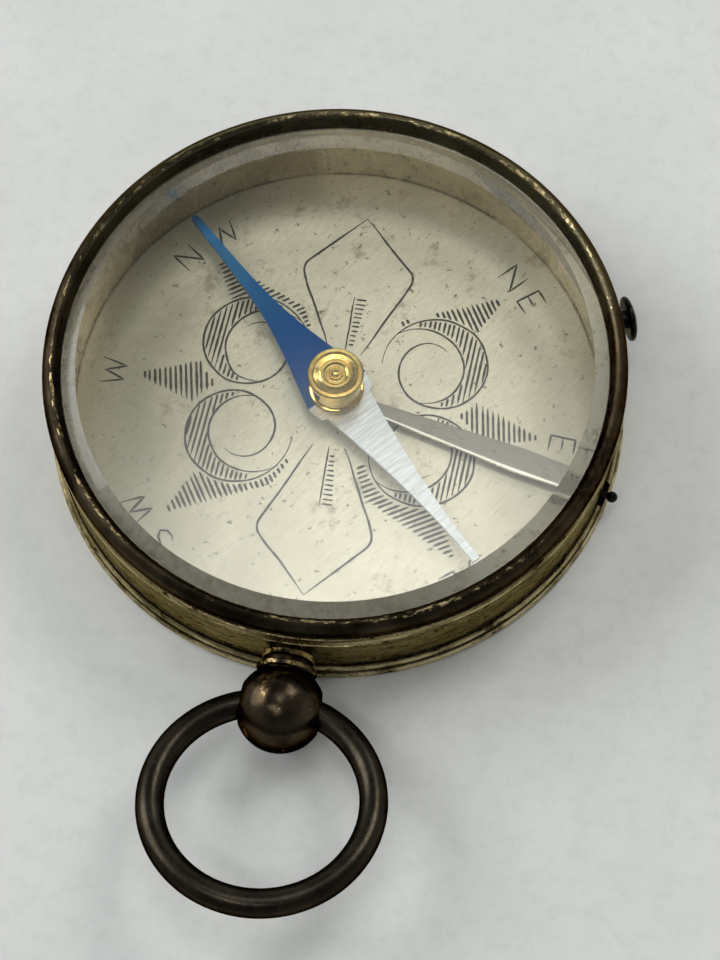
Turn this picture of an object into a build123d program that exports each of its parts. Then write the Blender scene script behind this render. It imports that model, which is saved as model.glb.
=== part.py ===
"""Open-faced pocket compass with a push-pull needle lock and a ring pendant.

The case is a turned brass drum: a snap-on back, a band, and a rolled bezel that holds a bevelled glass.
A magnetised blade turns on a steel point over an engraved dial.  Pushing the button in wedges up the
hidden arm of the lifter lever, which rocks in a slit of the band and raises the needle off its point.

Lengths are millimetres.  The origin is the centre of the back face, +Z is up through the glass, and -Y
points to the pendant.  Heights are measured from the back face.
"""

from build123d import *
from math import cos, radians, sin
import os

# Case
BASE_RADIUS = 23.25
BAND_RADIUS = 22.6
BAND_BORE = 22.05
BEZEL_RADIUS = 22.75
BEZEL_BORE = 21.35
NECK_RADIUS = 22.25
BEAD_RISE = 0.4
SEAM_HEIGHT = 0.9
NECK_TOP = 8.45
CASE_HEIGHT = 9.62
MID_HEIGHT = 4.15

# Floor, dial and reflector
FLOOR_TOP = 0.4
DIAL_TOP = 0.75
DIAL_RADIUS = 21.5
REFLECTOR_BORE = 21.3

# Glass
GLASS_RADIUS = 21.95
GLASS_BOTTOM = 7.5
GLASS_EDGE_TOP = 8.48
GLASS_TOP = 9.03
GLASS_FLAT_RADIUS = 20.15

# Pivot and needle
POST_RADIUS = 0.75
POST_TOP = 3.6
TAIL_RADIUS = 0.85
POINT_RADIUS = 0.3
POINT_TOP = 4.55
BLADE_BOTTOM = 2.32
BLADE_TOP = 2.6
CAP_RADIUS = 2.23
CAP_TOP = 5.6
CAP_BORE = 0.95
SPIGOT_RADIUS = 1.15
SPIGOT_BOTTOM = 2.12
JEWEL_RADIUS = 0.6
JEWEL_BOTTOM = 4.3
JEWEL_TOP = 4.95
NEEDLE_ANGLE = 135.2

# Lifter lever, which rocks about a tangent to the case where it crosses the band
LEVER_ANGLE = -13.5
LEVER_BOTTOM = 1.45
LEVER_TOP = 1.75
LEVER_END = 22.5
TONGUE_END = 23.6
TONGUE_WIDTH = 0.5
EYE_RADIUS = 1.25
ARM_INNER = 21.58
ARM_OUTER = 21.72
HOOK_GAP = 0.31
HOOK_TOP = 5.5

# Lock button
BUTTON_ANGLE = 21.7
BUTTON_HEIGHT = 4.55
BUTTON_TRAVEL = 0.6
STEM_RADIUS = 0.75
NOSE_RADIUS = 0.55
SHOULDER_RADIUS = 1.0
BUSH_RADIUS = 1.35
BUSH_END = 23.25
HEAD_RADIUS = 1.84

# Pendant
BALL_CENTRE = 27.12
BALL_RADIUS = 3.37
BALL_HOLE_RADIUS = 1.55
COLLAR_END = 23.62
PENDANT_STEM_RADIUS = 0.9
RING_RADIUS = 8.09
WIRE_RADIUS = 1.05
RING_OFFSET = 0.4
RING_TILT = 13.8


def radial_plane(angle, radius, height):
    """Plane across a radius: x runs along the tangent, y runs up, and the normal points outwards."""
    a = radians(angle)
    return Plane(
        origin=(radius * cos(a), radius * sin(a), height),
        x_dir=(-sin(a), cos(a), 0),
        z_dir=(cos(a), sin(a), 0),
    )


def axial_plane(angle, height):
    """Plane along a radius: x runs outwards from the case axis and y runs up from the given height."""
    a = radians(angle)
    return Plane(origin=(0, 0, height), x_dir=(cos(a), sin(a), 0), z_dir=(sin(a), -cos(a), 0))


def flat_plane(angle, height):
    """Horizontal plane at a height, with x along a radius."""
    a = radians(angle)
    return Plane(origin=(0, 0, height), x_dir=(cos(a), sin(a), 0), z_dir=(0, 0, 1))


def outline(plane, *corners):
    """Closed face with straight sides."""
    with BuildSketch(plane) as face:
        with BuildLine():
            Polyline(*corners, close=True)
        make_face()
    return face.sketch


def ring_sector(angle, height, start, end):
    """Thin curved strip between the arm's radii, from one angle to another about the case axis."""
    reach = 2 * ARM_OUTER
    edge_a = (reach * cos(radians(start)), reach * sin(radians(start)))
    edge_b = (reach * cos(radians(end)), reach * sin(radians(end)))
    with BuildSketch(flat_plane(angle, height)) as strip:
        Circle(ARM_OUTER)
        Circle(ARM_INNER, mode=Mode.SUBTRACT)
        with BuildLine():
            Polyline((0, 0), edge_a, edge_b, close=True)
        make_face(mode=Mode.INTERSECT)
    return strip.sketch


def save(part, label):
    """Name a finished piece and write its STEP file."""
    part.label = label
    export_step(part, f"parts/{label}.step")


os.makedirs("parts", exist_ok=True)

pendant_plane = axial_plane(-90, MID_HEIGHT)
pendant_axis = Axis(pendant_plane.origin, pendant_plane.x_dir)
button_plane = axial_plane(BUTTON_ANGLE, BUTTON_HEIGHT)
button_axis = Axis(button_plane.origin, button_plane.x_dir)

# --- Case ---------------------------------------------------------------------------------------------

# Back: a thin floor with a rounded bead at its edge and a low flange that snaps into the band.
RIVET_RADIUS = 1.25
RIVET_DEPTH = 0.3
FLANGE_OUTER = BAND_BORE - 0.02
FLANGE_INNER = DIAL_RADIUS + 0.1
FLANGE_TOP = 1.15
with BuildPart() as case_back:
    with BuildSketch(Plane.XZ):
        with BuildLine():
            Polyline(
                (BASE_RADIUS - 0.35, SEAM_HEIGHT),
                (FLANGE_OUTER, SEAM_HEIGHT),
                (FLANGE_OUTER, FLANGE_TOP),
                (FLANGE_INNER, FLANGE_TOP),
                (FLANGE_INNER, FLOOR_TOP),
                (TAIL_RADIUS, FLOOR_TOP),
                (TAIL_RADIUS, RIVET_DEPTH),
                (RIVET_RADIUS, 0),
                (BASE_RADIUS - 0.35, 0),
            )
            ThreePointArc(
                (BASE_RADIUS - 0.35, 0),
                (BASE_RADIUS, SEAM_HEIGHT / 2),
                (BASE_RADIUS - 0.35, SEAM_HEIGHT),
            )
        make_face()
    revolve(axis=Axis.Z)
save(case_back.part, "case_back")

# Band: a lower bead, a broad plain face, an upper bead, and a neck that the bezel presses onto.
LOWER_BEAD = (0.2, SEAM_HEIGHT, SEAM_HEIGHT + 0.75)
FACE_BOTTOM = 1.8
FACE_TOP = 5.85
GROOVE_DEPTH = 0.17
UPPER_BEAD = (-0.02, 6.15, 7.15)
SLIT_WIDTH = 2.0
SLIT_BOTTOM = 1.25
SLIT_TOP = 1.85
with BuildPart() as case_band:
    with BuildSketch(Plane.XZ):
        with BuildLine():
            Line((BAND_BORE, SEAM_HEIGHT), (BAND_RADIUS + LOWER_BEAD[0], LOWER_BEAD[1]))
            ThreePointArc(
                (BAND_RADIUS + LOWER_BEAD[0], LOWER_BEAD[1]),
                (BAND_RADIUS + BEAD_RISE, (LOWER_BEAD[1] + LOWER_BEAD[2]) / 2),
                (BAND_RADIUS + LOWER_BEAD[0], LOWER_BEAD[2]),
            )
            Polyline(
                (BAND_RADIUS + LOWER_BEAD[0], LOWER_BEAD[2]),
                (BAND_RADIUS, FACE_BOTTOM),
                (BAND_RADIUS, FACE_TOP),
                (BAND_RADIUS - GROOVE_DEPTH, FACE_TOP + 0.08),
                (BAND_RADIUS - GROOVE_DEPTH, UPPER_BEAD[1] - 0.08),
                (BAND_RADIUS + UPPER_BEAD[0], UPPER_BEAD[1]),
            )
            ThreePointArc(
                (BAND_RADIUS + UPPER_BEAD[0], UPPER_BEAD[1]),
                (BEZEL_RADIUS - 0.03, (UPPER_BEAD[1] + UPPER_BEAD[2]) / 2),
                (BAND_RADIUS + UPPER_BEAD[0], UPPER_BEAD[2]),
            )
            Polyline(
                (BAND_RADIUS + UPPER_BEAD[0], UPPER_BEAD[2]),
                (NECK_RADIUS, UPPER_BEAD[2] + 0.1),
                (NECK_RADIUS, NECK_TOP),
                (BAND_BORE, NECK_TOP),
                (BAND_BORE, SEAM_HEIGHT),
            )
        make_face()
    revolve(axis=Axis.Z)
    with BuildSketch(radial_plane(-90, BAND_BORE - 1, MID_HEIGHT)):
        Circle(BUSH_RADIUS)
    extrude(amount=3, mode=Mode.SUBTRACT)
    with BuildSketch(radial_plane(BUTTON_ANGLE, BAND_BORE - 1, BUTTON_HEIGHT)):
        Circle(BUSH_RADIUS)
    extrude(amount=3, mode=Mode.SUBTRACT)
    with BuildSketch(radial_plane(LEVER_ANGLE, BAND_BORE - 1, (SLIT_BOTTOM + SLIT_TOP) / 2)):
        Rectangle(SLIT_WIDTH, SLIT_TOP - SLIT_BOTTOM)
    extrude(amount=3, mode=Mode.SUBTRACT)
save(case_band.part, "case_band")

# Bezel: a rolled rim with a short skirt outside the neck and a lip over the edge of the glass.
SKIRT_BOTTOM = 7.4
SKIRT_RADIUS = 22.42
ROLL_BOTTOM = 7.85
LIP_BOTTOM = 8.5
with BuildPart() as bezel:
    with BuildSketch(Plane.XZ):
        with BuildLine():
            Polyline(
                (NECK_RADIUS, LIP_BOTTOM),
                (NECK_RADIUS, SKIRT_BOTTOM),
                (SKIRT_RADIUS, SKIRT_BOTTOM),
                (SKIRT_RADIUS, ROLL_BOTTOM),
            )
            ThreePointArc(
                (SKIRT_RADIUS, ROLL_BOTTOM),
                (BEZEL_RADIUS, LIP_BOTTOM + 0.12),
                (BEZEL_RADIUS - 0.62, CASE_HEIGHT),
            )
            ThreePointArc(
                (BEZEL_RADIUS - 0.62, CASE_HEIGHT),
                (BEZEL_BORE + 0.47, CASE_HEIGHT - 0.14),
                (BEZEL_BORE + 0.25, CASE_HEIGHT - 0.5),
            )
            Polyline(
                (BEZEL_BORE + 0.25, CASE_HEIGHT - 0.5),
                (BEZEL_BORE, LIP_BOTTOM + 0.12),
                (BEZEL_BORE, LIP_BOTTOM),
                (NECK_RADIUS, LIP_BOTTOM),
            )
        make_face()
    revolve(axis=Axis.Z)
save(bezel.part, "bezel")

# Glass: a flat plate with a broad bevel ground on its upper edge.
with BuildPart() as crystal:
    glass = outline(
        Plane.XZ,
        (0, GLASS_BOTTOM),
        (GLASS_RADIUS, GLASS_BOTTOM),
        (GLASS_RADIUS, GLASS_EDGE_TOP),
        (BEZEL_BORE - 0.05, GLASS_EDGE_TOP),
        (GLASS_FLAT_RADIUS, GLASS_TOP),
        (0, GLASS_TOP),
    )
    revolve(glass, axis=Axis.Z)
save(crystal.part, "crystal")

# Dial: a plain plate lying on the floor.
with BuildPart() as dial_plate:
    with BuildSketch(Plane.XY.offset(FLOOR_TOP)):
        Circle(DIAL_RADIUS)
        Circle(TAIL_RADIUS, mode=Mode.SUBTRACT)
    extrude(amount=DIAL_TOP - FLOOR_TOP)
save(dial_plate.part, "dial_plate")

# Reflector: a silvered lining that stands on the dial and carries the glass.
WINDOW_WIDTH = 2.3
WINDOW_BOTTOM = 1.15
WINDOW_TOP = 2.1
NOSE_HOLE_RADIUS = 0.8
with BuildPart() as reflector_ring:
    with BuildSketch(Plane.XY.offset(DIAL_TOP)):
        Circle(DIAL_RADIUS)
        Circle(REFLECTOR_BORE, mode=Mode.SUBTRACT)
    extrude(amount=GLASS_BOTTOM - DIAL_TOP)
    with BuildSketch(radial_plane(LEVER_ANGLE, REFLECTOR_BORE - 1, (WINDOW_BOTTOM + WINDOW_TOP) / 2)):
        Rectangle(WINDOW_WIDTH, WINDOW_TOP - WINDOW_BOTTOM)
    extrude(amount=3, mode=Mode.SUBTRACT)
    with BuildSketch(radial_plane(BUTTON_ANGLE, REFLECTOR_BORE - 1, BUTTON_HEIGHT)):
        Circle(NOSE_HOLE_RADIUS)
    extrude(amount=3, mode=Mode.SUBTRACT)
save(reflector_ring.part, "reflector_ring")

# --- Pivot --------------------------------------------------------------------------------------------

# Post: flanged brass pillar whose tail is riveted into the countersunk back.
POST_FLANGE_RADIUS = 1.6
POST_FLANGE_TOP = 1.0
POINT_BOTTOM = 2.6
with BuildPart() as pivot_post:
    post = outline(
        Plane.XZ,
        (0, 0),
        (RIVET_RADIUS, 0),
        (TAIL_RADIUS, RIVET_DEPTH),
        (TAIL_RADIUS, DIAL_TOP),
        (POST_FLANGE_RADIUS, DIAL_TOP),
        (POST_FLANGE_RADIUS, POST_FLANGE_TOP),
        (POST_RADIUS, POST_FLANGE_TOP),
        (POST_RADIUS, POST_TOP - 0.2),
        (POST_RADIUS - 0.2, POST_TOP),
        (POINT_RADIUS, POST_TOP),
        (POINT_RADIUS, POINT_BOTTOM),
        (0, POINT_BOTTOM),
    )
    revolve(post, axis=Axis.Z)
save(pivot_post.part, "pivot_post")

# Point: hardened pin standing in the post.
POINT_TIP_RADIUS = 0.02
with BuildPart() as pivot_point:
    pin = outline(
        Plane.XZ,
        (0, POINT_BOTTOM),
        (POINT_RADIUS, POINT_BOTTOM),
        (POINT_RADIUS, POINT_TOP - 0.5),
        (POINT_TIP_RADIUS, POINT_TOP),
        (0, POINT_TOP),
    )
    revolve(pin, axis=Axis.Z)
save(pivot_point.part, "pivot_point")

# --- Needle -------------------------------------------------------------------------------------------

# Blade: x runs to the north tip.  Both halves sweep in from a broad shoulder to a narrow strip.
SHOULDER = (0, 2.85)
SOUTH_SHOULDER = (-1.45, 2.5)
SOUTH_STEP = (-1.7, 2.05)
NORTH_TIP_LENGTH = 20.15
SOUTH_TIP_LENGTH = 18.25
TIP_HALF_WIDTH = 0.33
NORTH_TIP_CORNER = (NORTH_TIP_LENGTH - TIP_HALF_WIDTH, TIP_HALF_WIDTH)
SCRIBE_X = -17.6
SCRIBE_WIDTH = 0.08
SCRIBE_DEPTH = 0.05
with BuildPart() as needle_blade:
    with BuildSketch(flat_plane(NEEDLE_ANGLE, BLADE_BOTTOM)):
        with BuildLine():
            Spline(SHOULDER, (5, 1.58), (9, 0.84), (13.4, 0.5), NORTH_TIP_CORNER)
            ThreePointArc(
                NORTH_TIP_CORNER,
                (NORTH_TIP_LENGTH - 0.1, TIP_HALF_WIDTH * 0.7),
                (NORTH_TIP_LENGTH, 0),
            )
            Polyline(SHOULDER, SOUTH_SHOULDER, SOUTH_STEP)
            Spline(SOUTH_STEP, (-5, 1.5), (-9, 0.93), (-13.4, 0.49), (-SOUTH_TIP_LENGTH, TIP_HALF_WIDTH))
            Line((-SOUTH_TIP_LENGTH, TIP_HALF_WIDTH), (-SOUTH_TIP_LENGTH, 0))
            Line((-SOUTH_TIP_LENGTH, 0), (NORTH_TIP_LENGTH, 0))
        make_face()
        mirror(about=Plane.XZ)
        Circle(SPIGOT_RADIUS, mode=Mode.SUBTRACT)
    extrude(amount=BLADE_TOP - BLADE_BOTTOM)
    with BuildSketch(flat_plane(NEEDLE_ANGLE, BLADE_TOP - SCRIBE_DEPTH)):
        with Locations((SCRIBE_X, 0)):
            Rectangle(SCRIBE_WIDTH, 2)
    extrude(amount=1, mode=Mode.SUBTRACT)
save(needle_blade.part, "needle_blade")

# Cap: turned brass hub with a stepped, grooved top and a hollow that covers the post.
WAIST_RADIUS = 2.02
NECK_GROOVE_RADIUS = 1.82
CAP_RIM_BOTTOM = 5.02
with BuildPart() as needle_cap:
    hub = outline(
        Plane.XZ,
        (CAP_BORE, SPIGOT_BOTTOM),
        (SPIGOT_RADIUS, SPIGOT_BOTTOM),
        (SPIGOT_RADIUS, BLADE_TOP),
        (CAP_RADIUS - 0.05, BLADE_TOP),
        (CAP_RADIUS, BLADE_TOP + 0.1),
        (CAP_RADIUS, BLADE_TOP + 0.32),
        (CAP_RADIUS - 0.1, BLADE_TOP + 0.45),
        (WAIST_RADIUS, BLADE_TOP + 0.5),
        (WAIST_RADIUS, CAP_RIM_BOTTOM - 0.2),
        (NECK_GROOVE_RADIUS, CAP_RIM_BOTTOM - 0.12),
        (NECK_GROOVE_RADIUS, CAP_RIM_BOTTOM),
        (CAP_RADIUS - 0.08, CAP_RIM_BOTTOM),
        (CAP_RADIUS, CAP_RIM_BOTTOM + 0.08),
        (CAP_RADIUS, CAP_TOP - 0.1),
        (CAP_RADIUS - 0.1, CAP_TOP),
        (CAP_RADIUS - 0.35, CAP_TOP),
        (CAP_RADIUS - 0.5, CAP_TOP - 0.14),
        (1.35, CAP_TOP - 0.2),
        (1.2, CAP_TOP - 0.1),
        (1.02, CAP_TOP - 0.1),
        (0.86, CAP_TOP - 0.2),
        (0.55, CAP_TOP - 0.2),
        (0.48, CAP_TOP - 0.12),
        (0.38, CAP_TOP - 0.12),
        (0.2, CAP_TOP - 0.28),
        (0, CAP_TOP - 0.3),
        (0, JEWEL_TOP),
        (JEWEL_RADIUS, JEWEL_TOP),
        (JEWEL_RADIUS, JEWEL_BOTTOM),
        (CAP_BORE, JEWEL_BOTTOM),
    )
    revolve(hub, axis=Axis.Z)
save(needle_cap.part, "needle_cap")

# Jewel: hard stone cup that rides on the point.
CUP_RADIUS = 0.35
CUP_TOP = POINT_TOP + 0.02
with BuildPart() as cap_jewel:
    cup = outline(
        Plane.XZ,
        (0, CUP_TOP),
        (CUP_RADIUS, JEWEL_BOTTOM),
        (JEWEL_RADIUS, JEWEL_BOTTOM),
        (JEWEL_RADIUS, JEWEL_TOP),
        (0, JEWEL_TOP),
    )
    revolve(cup, axis=Axis.Z)
save(cap_jewel.part, "cap_jewel")

# Collar: brass ring pressed on the cap's spigot under the blade.
CAP_COLLAR_RADIUS = 1.7
with BuildPart() as cap_collar:
    with BuildSketch(Plane.XY.offset(SPIGOT_BOTTOM)):
        Circle(CAP_COLLAR_RADIUS)
        Circle(SPIGOT_RADIUS, mode=Mode.SUBTRACT)
    extrude(amount=BLADE_BOTTOM - SPIGOT_BOTTOM)
save(cap_collar.part, "cap_collar")

# --- Lifter -------------------------------------------------------------------------------------------

# Lift collar: flanged sleeve that slides on the post and carries the needle up.
SLEEVE_BORE = POST_RADIUS + 0.05
SLEEVE_RADIUS = 1.05
SLEEVE_BOTTOM = 1.05
LIFT_FLANGE_BOTTOM = 1.93
LIFT_FLANGE_RADIUS = 1.55
LIFT_FLANGE_TOP = SPIGOT_BOTTOM - 0.02
with BuildPart() as lift_collar:
    sleeve = outline(
        Plane.XZ,
        (SLEEVE_BORE, SLEEVE_BOTTOM),
        (SLEEVE_RADIUS, SLEEVE_BOTTOM),
        (SLEEVE_RADIUS, LIFT_FLANGE_BOTTOM),
        (LIFT_FLANGE_RADIUS, LIFT_FLANGE_BOTTOM),
        (LIFT_FLANGE_RADIUS, LIFT_FLANGE_TOP),
        (SLEEVE_BORE, LIFT_FLANGE_TOP),
    )
    revolve(sleeve, axis=Axis.Z)
save(lift_collar.part, "lift_collar")

# Lever: a flat strip with an eye round the sleeve, a tail through the band's slit, and a thin arm that
# runs behind the reflector to a hook over the button's nose.
STRIP_THICKNESS = LEVER_TOP - LEVER_BOTTOM
EYE_OUTER = 1.8
BUTTON_OFFSET = BUTTON_ANGLE - LEVER_ANGLE
ARM_HEIGHT = 0.5
ARM_START = -1.5
RISER_START = BUTTON_OFFSET - 5.2
RISER_END = BUTTON_OFFSET - 3.3
HOOK_END = BUTTON_OFFSET + 2.0
HOOK_BOTTOM = BUTTON_HEIGHT + HOOK_GAP
half_widths = [(1.4, 0.5), (4.2, 0.58), (10, 0.82), (15.6, 1.08), (18.5, 1.0), (LEVER_END, 0.93)]
tail_outline = half_widths + [(LEVER_END, TONGUE_WIDTH / 2), (TONGUE_END, TONGUE_WIDTH / 2)]
mirrored = [(x, -y) for x, y in reversed(tail_outline)]
with BuildPart() as lifter_lever:
    with BuildSketch(flat_plane(LEVER_ANGLE, LEVER_BOTTOM)):
        with BuildLine():
            Polyline(*tail_outline, *mirrored, close=True)
        make_face()
        Circle(EYE_OUTER)
        Circle(EYE_RADIUS, mode=Mode.SUBTRACT)
    extrude(amount=STRIP_THICKNESS)
    extrude(ring_sector(LEVER_ANGLE, LEVER_BOTTOM, ARM_START, RISER_END), amount=ARM_HEIGHT)
    extrude(ring_sector(LEVER_ANGLE, LEVER_BOTTOM, RISER_START, RISER_END), amount=HOOK_TOP - LEVER_BOTTOM)
    extrude(ring_sector(LEVER_ANGLE, HOOK_BOTTOM, RISER_START, HOOK_END), amount=HOOK_TOP - HOOK_BOTTOM)
save(lifter_lever.part, "lifter_lever")

# Retainer: blackened bead pressed on the tongue outside the band.
RETAINER_RADIUS = 0.45
RETAINER_CENTRE = BAND_RADIUS + BEAD_RISE + RETAINER_RADIUS + 0.05
with BuildPart(radial_plane(LEVER_ANGLE, RETAINER_CENTRE, (LEVER_BOTTOM + LEVER_TOP) / 2)) as lever_retainer:
    Sphere(RETAINER_RADIUS)
    with BuildSketch(radial_plane(LEVER_ANGLE, BASE_RADIUS - 1, (LEVER_BOTTOM + LEVER_TOP) / 2)):
        Rectangle(TONGUE_WIDTH, STRIP_THICKNESS)
    extrude(amount=TONGUE_END + 0.01 - BASE_RADIUS + 1, mode=Mode.SUBTRACT)
save(lever_retainer.part, "lever_retainer")

# --- Lock button --------------------------------------------------------------------------------------

# Bush: flared boss screwed into the band, with a cavity that traps the stem's shoulder.
CAVITY_RADIUS = SHOULDER_RADIUS + 0.05
STEM_BORE = STEM_RADIUS + 0.05
BUSH_START = BAND_BORE + 0.05
LIP_START = BUSH_END - 0.21
FLARE_RADIUS = 1.95
with BuildPart() as button_bush:
    flare = outline(
        button_plane,
        (BAND_BORE + 0.1, STEM_BORE),
        (BAND_BORE + 0.1, FLARE_RADIUS),
        (BAND_RADIUS + 0.1, FLARE_RADIUS),
        (BAND_RADIUS + 0.3, FLARE_RADIUS - 0.15),
        (BUSH_END - 0.1, BUSH_RADIUS + 0.25),
        (BUSH_END, BUSH_RADIUS),
        (BUSH_END, STEM_BORE),
    )
    revolve(flare, axis=button_axis)
    add(case_band.part, mode=Mode.SUBTRACT)
    cavity = outline(
        button_plane,
        (BUSH_START, 0),
        (BUSH_START, CAVITY_RADIUS),
        (LIP_START, CAVITY_RADIUS),
        (LIP_START, 0),
    )
    revolve(cavity, axis=button_axis, mode=Mode.SUBTRACT)
save(button_bush.part, "button_bush")

# Stem: a tapered nose that lifts the hook, a trapped shoulder, and a neck that carries the head.
SHOULDER_END = LIP_START - 0.02
SHOULDER_START = SHOULDER_END - 0.2
NOSE_TIP = ARM_OUTER - 0.25
NOSE_SLOPE = 0.6033
NOSE_TIP_RADIUS = 0.05
NOSE_ROOT = NOSE_TIP + (NOSE_RADIUS - NOSE_TIP_RADIUS) / NOSE_SLOPE
NECK_END = BUSH_END + BUTTON_TRAVEL + 0.05
SPIGOT_END = NECK_END + 0.72
HEAD_SPIGOT = 0.45
with BuildPart() as button_stem:
    shaft = outline(
        button_plane,
        (NOSE_TIP, 0),
        (NOSE_TIP, NOSE_TIP_RADIUS),
        (NOSE_ROOT, NOSE_RADIUS),
        (SHOULDER_START, NOSE_RADIUS),
        (SHOULDER_START, SHOULDER_RADIUS),
        (SHOULDER_END, SHOULDER_RADIUS),
        (SHOULDER_END, STEM_RADIUS),
        (NECK_END, STEM_RADIUS),
        (NECK_END, HEAD_SPIGOT),
        (SPIGOT_END, HEAD_SPIGOT),
        (SPIGOT_END, 0),
    )
    revolve(shaft, axis=button_axis)
save(button_stem.part, "button_stem")

# Head: domed button riveted on the end of the stem.
with BuildPart() as button_head:
    with BuildSketch(button_plane):
        with BuildLine():
            Polyline(
                (SPIGOT_END, HEAD_SPIGOT),
                (NECK_END, HEAD_SPIGOT),
                (NECK_END, HEAD_RADIUS - 0.35),
                (NECK_END + 0.08, HEAD_RADIUS - 0.05),
            )
            ThreePointArc(
                (NECK_END + 0.08, HEAD_RADIUS - 0.05),
                (NECK_END + 0.25, HEAD_RADIUS),
                (NECK_END + 0.42, HEAD_RADIUS - 0.1),
            )
            ThreePointArc(
                (NECK_END + 0.42, HEAD_RADIUS - 0.1),
                (NECK_END + 0.64, HEAD_RADIUS - 0.7),
                (SPIGOT_END, HEAD_SPIGOT),
            )
        make_face()
    revolve(axis=button_axis)
save(button_head.part, "button_head")

# --- Pendant ------------------------------------------------------------------------------------------

# Collar: flanged ring with a narrow neck at the wall, brazed over the hole in the band.
COLLAR_RADIUS = 2.0
COLLAR_NECK = 1.6
COLLAR_WAIST = 1.75
with BuildPart() as pendant_collar:
    boss = outline(
        pendant_plane,
        (BAND_BORE + 0.1, PENDANT_STEM_RADIUS),
        (BAND_BORE + 0.1, COLLAR_NECK),
        (COLLAR_END - 0.72, COLLAR_NECK),
        (COLLAR_END - 0.68, COLLAR_RADIUS - 0.08),
        (COLLAR_END - 0.6, COLLAR_RADIUS),
        (COLLAR_END - 0.3, COLLAR_RADIUS),
        (COLLAR_END - 0.2, COLLAR_RADIUS - 0.1),
        (COLLAR_END - 0.16, COLLAR_WAIST),
        (COLLAR_END, COLLAR_WAIST),
        (COLLAR_END, PENDANT_STEM_RADIUS),
    )
    revolve(boss, axis=pendant_axis)
    add(case_band.part, mode=Mode.SUBTRACT)
save(pendant_collar.part, "pendant_collar")

# Ball: screwed through the collar, with a flanged foot and a cross hole for the ring.
FOOT_RADIUS = 2.3
FOOT_START = COLLAR_END + 0.02
FOOT_END = FOOT_START + 0.78
FOOT_ROOT = 2.05
NUT_INNER = DIAL_RADIUS + 0.08
NUT_THICKNESS = 0.4
with BuildPart() as pendant_ball:
    with BuildSketch(pendant_plane):
        with BuildLine():
            Line((BALL_CENTRE - BALL_RADIUS, 0), (BALL_CENTRE + BALL_RADIUS, 0))
            ThreePointArc(
                (BALL_CENTRE - BALL_RADIUS, 0),
                (BALL_CENTRE, BALL_RADIUS),
                (BALL_CENTRE + BALL_RADIUS, 0),
            )
        make_face()
    revolve(axis=pendant_axis)
    foot = outline(
        pendant_plane,
        (NUT_INNER, 0),
        (NUT_INNER, PENDANT_STEM_RADIUS),
        (FOOT_START, PENDANT_STEM_RADIUS),
        (FOOT_START, COLLAR_WAIST),
        (FOOT_START + 0.2, COLLAR_WAIST),
        (FOOT_START + 0.24, FOOT_RADIUS - 0.1),
        (FOOT_START + 0.34, FOOT_RADIUS),
        (FOOT_END - 0.16, FOOT_RADIUS),
        (FOOT_END - 0.04, FOOT_RADIUS - 0.1),
        (FOOT_END, FOOT_ROOT),
        (BALL_CENTRE - BALL_RADIUS + 0.9, FOOT_ROOT),
        (BALL_CENTRE - BALL_RADIUS + 1.2, 0),
    )
    revolve(foot, axis=pendant_axis)
    with BuildSketch(Plane(origin=(-BALL_RADIUS - 1, -BALL_CENTRE, MID_HEIGHT), z_dir=(1, 0, 0))):
        Circle(BALL_HOLE_RADIUS)
    extrude(amount=2 * BALL_RADIUS + 2, mode=Mode.SUBTRACT)
    hole_edges = pendant_ball.edges().filter_by(lambda e: abs(e.center().X) > BALL_RADIUS / 2)
    chamfer(hole_edges.filter_by(lambda e: e.length > BALL_HOLE_RADIUS), length=0.12)
save(pendant_ball.part, "pendant_ball")

# Nut: thin hexagon in the space between band and reflector.
NUT_ACROSS_CORNERS_RADIUS = 1.6
with BuildPart() as pendant_nut:
    with BuildSketch(radial_plane(-90, NUT_INNER, MID_HEIGHT)):
        RegularPolygon(radius=NUT_ACROSS_CORNERS_RADIUS, side_count=6)
        Circle(PENDANT_STEM_RADIUS, mode=Mode.SUBTRACT)
    extrude(amount=NUT_THICKNESS)
save(pendant_nut.part, "pendant_nut")

# Ring: round wire through the ball, standing out a little above level.
tilt = radians(RING_TILT)
ring_reach = RING_RADIUS - RING_OFFSET
ring_centre = (0, -BALL_CENTRE - ring_reach * cos(tilt), MID_HEIGHT + ring_reach * sin(tilt))
with BuildPart(Plane(origin=ring_centre, x_dir=(1, 0, 0), z_dir=(0, sin(tilt), cos(tilt)))) as bow_ring:
    Torus(major_radius=RING_RADIUS, minor_radius=WIRE_RADIUS)
save(bow_ring.part, "bow_ring")
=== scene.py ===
"""Looks of the open-faced pocket compass: materials, engraved dial, light and camera round the CAD frame."""

from math import atan2, cos, hypot, pi, radians, sin

import bmesh
import bpy
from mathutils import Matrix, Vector, noise as pattern


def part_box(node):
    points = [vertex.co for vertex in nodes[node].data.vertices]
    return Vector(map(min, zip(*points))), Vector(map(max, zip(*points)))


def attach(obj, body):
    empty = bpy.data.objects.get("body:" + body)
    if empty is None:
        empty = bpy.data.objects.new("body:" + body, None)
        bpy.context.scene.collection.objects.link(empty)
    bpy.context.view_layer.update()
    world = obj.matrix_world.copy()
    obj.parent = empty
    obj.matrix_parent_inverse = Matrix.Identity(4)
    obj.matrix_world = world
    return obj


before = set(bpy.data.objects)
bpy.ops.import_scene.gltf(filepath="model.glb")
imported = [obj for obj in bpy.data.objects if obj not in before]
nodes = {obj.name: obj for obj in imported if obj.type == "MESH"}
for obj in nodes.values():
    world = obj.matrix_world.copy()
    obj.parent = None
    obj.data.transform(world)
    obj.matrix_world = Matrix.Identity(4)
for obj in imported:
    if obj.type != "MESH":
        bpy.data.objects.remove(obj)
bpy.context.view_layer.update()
MM = 0.001
DIAL_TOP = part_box("dial_plate")[1].z / MM
NEEDLE_ANGLE = radians(135.2)
LEVER_ANGLE = radians(-13.5)
PENDANT_HEIGHT = 4.15
PENDANT_FOOT_END = 24.5
WALL_RADIUS = 22


# --- Node helpers -------------------------------------------------------------------------------------

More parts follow.
